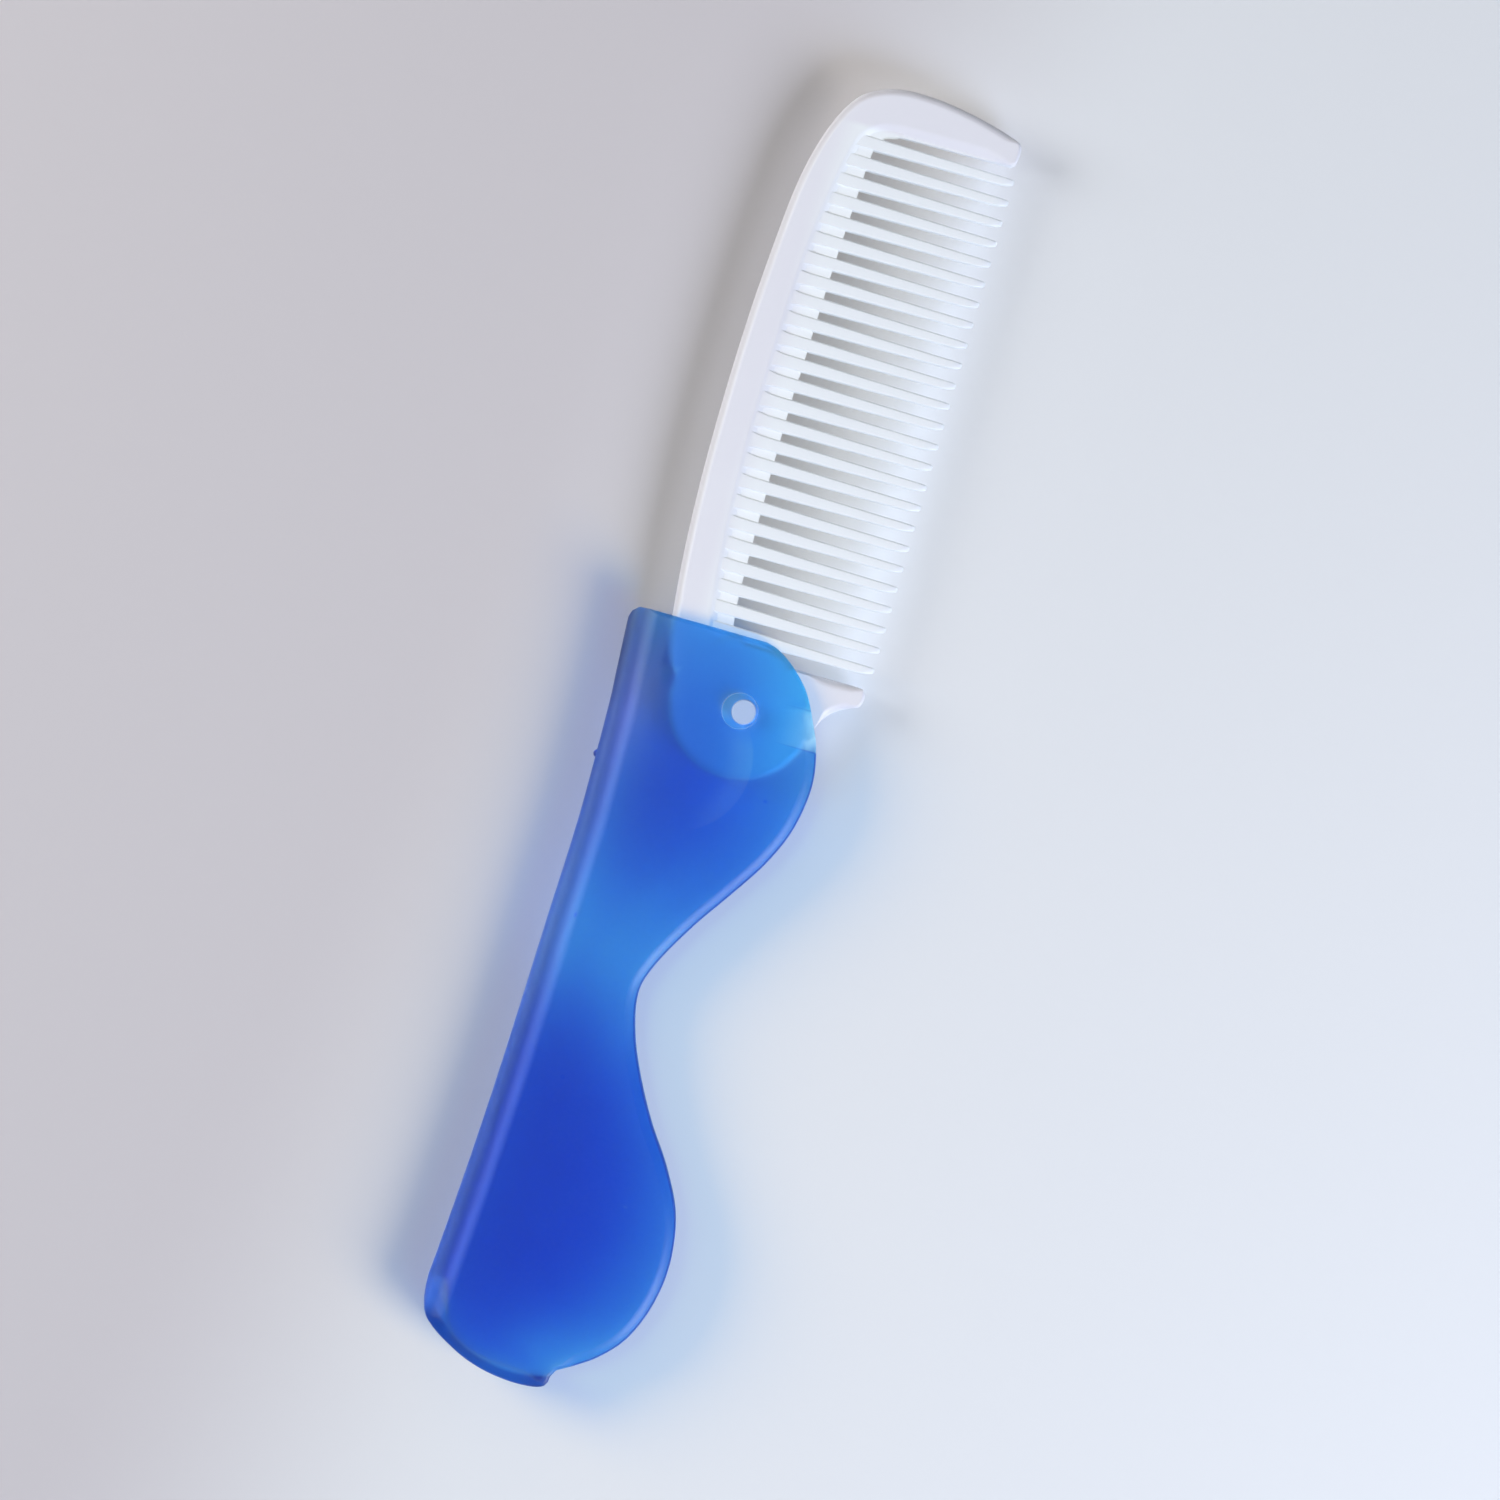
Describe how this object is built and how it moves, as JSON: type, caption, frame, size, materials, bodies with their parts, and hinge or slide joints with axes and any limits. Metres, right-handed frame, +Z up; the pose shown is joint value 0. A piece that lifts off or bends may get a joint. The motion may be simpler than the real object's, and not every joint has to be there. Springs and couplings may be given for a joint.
{
  "type": "folding comb",
  "caption": "Folding pocket comb lying open: a toothed blade with a round tang turns on a pin between the two wavy-edged cheeks of a translucent channel handle.",
  "frame": {"origin": "under the middle of the open comb's box, on the surface it lies on", "axes": "+Y along the open comb from handle to tip, +X towards the teeth and the channel's mouth, +Z up, square to the cheeks"},
  "size_m": [0.0342, 0.1756, 0.008],
  "materials": {
    "handle_plastic": "translucent blue, satin",
    "comb_plastic": "opaque white, soft gloss"
  },
  "bodies": {
    "handle_body": {"handle": "handle_plastic"},
    "comb_body": {"comb": "comb_plastic"}
  },
  "joints": [
    {"name": "comb_fold", "type": "hinge", "parent": "handle_body", "child": "comb_body", "pos_m": [0.00228, 0.00411, 0.004], "axis": [0, 0, -1], "range_deg": [0, 180]}
  ]
}
